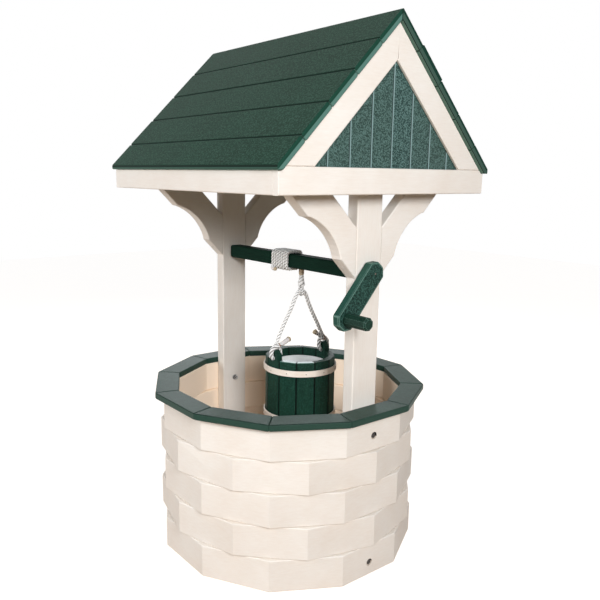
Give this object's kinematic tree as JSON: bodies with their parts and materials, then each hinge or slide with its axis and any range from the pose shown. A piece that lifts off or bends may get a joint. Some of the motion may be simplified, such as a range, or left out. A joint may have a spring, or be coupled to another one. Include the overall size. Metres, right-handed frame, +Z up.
{
  "type": "wishing well planter",
  "caption": "Twelve-sided well planter of stacked boards with two posts, a gabled roof, a cranked winch and a stave bucket on a rope.",
  "frame": {"origin": "on the ground, in the middle of the overall width and of the overall length, which runs from the left end of the roof to the tip of the crank handle", "axes": "+X along the ridge and the winch bar towards the crank, +Y across the ridge, +Z up; -Y faces the front eave"},
  "size_m": [0.82, 0.7668, 1.4286],
  "materials": {
    "cream_boards": "satin recycled plastic board",
    "green_boards": "satin recycled plastic board, slightly mottled",
    "dark_green": "satin recycled plastic board, dark green",
    "rope": "twisted three-strand rope",
    "bolts": "zinc plated",
    "liner": "satin",
    "hoops": "bare bent strip"
  },
  "bodies": {
    "well": {"wall_course_1": "cream_boards", "wall_course_2": "cream_boards", "wall_course_3": "cream_boards", "wall_course_4": "cream_boards", "wall_course_5": "cream_boards", "rim_board_1": "green_boards", "rim_board_2": "green_boards", "rim_board_3": "green_boards", "rim_board_4": "green_boards", "rim_board_5": "green_boards", "rim_board_6": "green_boards", "rim_board_7": "green_boards", "rim_board_8": "green_boards", "rim_board_9": "green_boards", "rim_board_10": "green_boards", "rim_board_11": "green_boards", "rim_board_12": "green_boards", "post_right": "cream_boards", "post_left": "cream_boards", "tie_beam_right": "cream_boards", "tie_beam_left": "cream_boards", "brace_right_back": "cream_boards", "brace_right_front": "cream_boards", "brace_left_front": "cream_boards", "brace_left_back": "cream_boards", "wall_bolt_right_lower": "bolts", "wall_bolt_right_upper": "bolts", "wall_bolt_left_lower": "bolts", "wall_bolt_left_upper": "bolts", "side_fascia_back": "cream_boards", "side_fascia_front": "cream_boards", "gable_fascia_right": "cream_boards", "gable_fascia_left": "cream_boards", "rake_right_back": "cream_boards", "rake_right_front": "cream_boards", "rake_left_front": "cream_boards", "rake_left_back": "cream_boards", "gable_panel_right": "green_boards", "gable_panel_left": "green_boards", "roof_board_back_1": "green_boards", "roof_board_front_1": "green_boards", "roof_board_back_2": "green_boards", "roof_board_front_2": "green_boards", "roof_board_back_3": "green_boards", "roof_board_front_3": "green_boards", "roof_board_back_4": "green_boards", "roof_board_front_4": "green_boards", "roof_board_back_5": "green_boards", "roof_board_front_5": "green_boards"},
    "winch": {"winch_bar": "dark_green", "crank_arm": "green_boards", "crank_handle": "green_boards", "rope_winding": "rope"},
    "hanging_rope": {"rope_drop": "rope"},
    "rope_end": {"rope_eye": "rope"},
    "bucket": {"bucket_body": "dark_green", "bucket_hoop_upper": "hoops", "bucket_hoop_lower": "hoops", "bucket_liner": "liner", "bail_rope": "rope"}
  },
  "joints": [
    {"name": "crank_turn", "type": "hinge", "parent": "well", "child": "winch", "pos_m": [0, 0, 0.815], "axis": [1, 0, 0], "range_deg": [-637, 73]},
    {"name": "rope_swing", "type": "hinge", "parent": "well", "child": "hanging_rope", "pos_m": [0.01663, 0.02465, 0.7958], "axis": [1, 0, 0], "range_deg": [-8, 8]},
    {"name": "bucket_lift", "type": "slide", "parent": "hanging_rope", "child": "rope_end", "axis": [0, 0, 1], "range_m": [-0.3325, 0.0385], "deforming": ["rope_drop"]},
    {"name": "bucket_sway", "type": "hinge", "parent": "rope_end", "child": "bucket", "pos_m": [0.01663, 0.02465, 0.724], "axis": [0, 1, 0], "range_deg": [-8, 8]}
  ],
  "couplings": [
    {"joint": "bucket_lift", "follows": "crank_turn", "m_per_rad": 0.02986}
  ]
}
